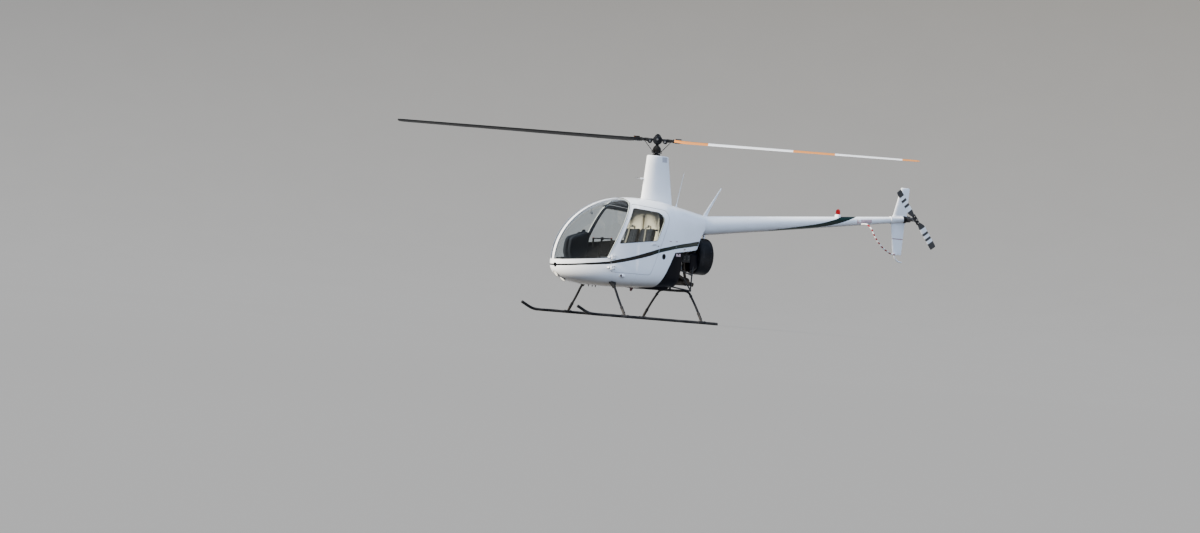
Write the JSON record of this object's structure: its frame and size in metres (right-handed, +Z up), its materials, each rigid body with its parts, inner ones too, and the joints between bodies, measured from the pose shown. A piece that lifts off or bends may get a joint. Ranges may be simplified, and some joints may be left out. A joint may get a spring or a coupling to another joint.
{
  "type": "light two-seat helicopter",
  "caption": "Light piston helicopter with a bubble cabin, tall mast fairing, teetering two-blade rotor, open engine bay, slim tail boom and skids.",
  "frame": {"origin": "on the ground, under the middle of the overall box, rotor blades at rest included", "axes": "+X forward towards the nose, +Y to port, +Z up"},
  "size_m": [8.095, 4.0008, 2.72],
  "materials": {
    "white_paint": "gloss",
    "white_metal": "gloss",
    "black_paint": "satin",
    "black_panel": "satin",
    "engine_grey": "matte",
    "frame_steel": "satin",
    "exhaust_steel": "satin",
    "fan_alloy": "satin",
    "belt_rubber": "matte",
    "window_glass": "polished",
    "lamp_glass": "polished",
    "red_lens": "polished",
    "green_lens": "polished",
    "seat_cloth": "matte",
    "dark_trim": "matte",
    "wall_trim": "matte",
    "guard_stripe": "gloss"
  },
  "bodies": {
    "airframe": {"cabin_roof": "white_paint", "cabin_tub": "white_paint", "landing_lights": "lamp_glass", "windshield_left": "window_glass", "windshield_right": "window_glass", "nav_light_left": "red_lens", "nav_light_right": "green_lens", "cabin_floor": "dark_trim", "cabin_back_wall": "wall_trim", "firewall": "engine_grey", "seat_base": "dark_trim", "seat_cushion_left": "seat_cloth", "seat_cushion_right": "seat_cloth", "seat_back_left": "seat_cloth", "seat_back_right": "seat_cloth", "instrument_console": "dark_trim", "cyclic_stick": "black_paint", "collective_lever_left": "black_paint", "collective_lever_right": "black_paint", "pedals_left": "engine_grey", "pedals_right": "engine_grey", "gearbox_and_mast": "engine_grey", "mast_fairing": "white_paint", "engine_cowl": "white_paint", "bay_panel": "black_panel", "engine_frame": "frame_steel", "tail_boom": "white_metal", "fin_upper": "white_paint", "fin_lower": "white_paint", "stabilizer": "white_paint", "tail_gearbox": "black_paint", "tail_guard": "guard_stripe", "skid_left": "black_paint", "skid_right": "black_paint", "gear_leg_front": "black_paint", "gear_leg_rear": "black_paint", "engine": "engine_grey", "exhaust": "exhaust_steel", "fan_scroll": "black_panel", "drive_belts": "belt_rubber", "beacon_base": "white_paint", "beacon_lens": "red_lens", "antenna_blade": "white_paint", "antenna_whip": "white_paint"},
    "main_rotor": {"rotor_hub": "black_paint", "swashplate_upper": "engine_grey", "main_blade_front": "white_metal", "main_blade_rear": "white_metal"},
    "tail_rotor": {"tail_rotor_hub": "black_paint", "tail_blade_a": "white_metal", "tail_blade_b": "white_metal"},
    "engine_fan": {"cooling_fan": "fan_alloy"},
    "port_door": {"door_left": "white_paint", "door_window_left": "window_glass"},
    "starboard_door": {"door_right": "white_paint", "door_window_right": "window_glass"}
  },
  "joints": [
    {"name": "main_rotor_spin", "type": "hinge", "parent": "airframe", "child": "main_rotor", "pos_m": [0.70791, 0, 2.63], "axis": [0, 0, 1], "continuous": true},
    {"name": "tail_rotor_spin", "type": "hinge", "parent": "airframe", "child": "tail_rotor", "pos_m": [-3.66209, 0.255, 1.84605], "axis": [0, 1, 0], "continuous": true},
    {"name": "cooling_fan_spin", "type": "hinge", "parent": "airframe", "child": "engine_fan", "pos_m": [-0.14209, 0, 0.95], "axis": [1, 0, 0], "continuous": true},
    {"name": "port_door_hinge", "type": "hinge", "parent": "airframe", "child": "port_door", "pos_m": [1.56991, 0.566, 0.761], "axis": [0, 0, -1], "range_deg": [0, 80]},
    {"name": "starboard_door_hinge", "type": "hinge", "parent": "airframe", "child": "starboard_door", "pos_m": [1.56991, -0.566, 0.761], "axis": [0, 0, 1], "range_deg": [0, 80]}
  ],
  "couplings": [
    {"joint": "tail_rotor_spin", "follows": "main_rotor_spin", "ratio": -6.409}
  ]
}
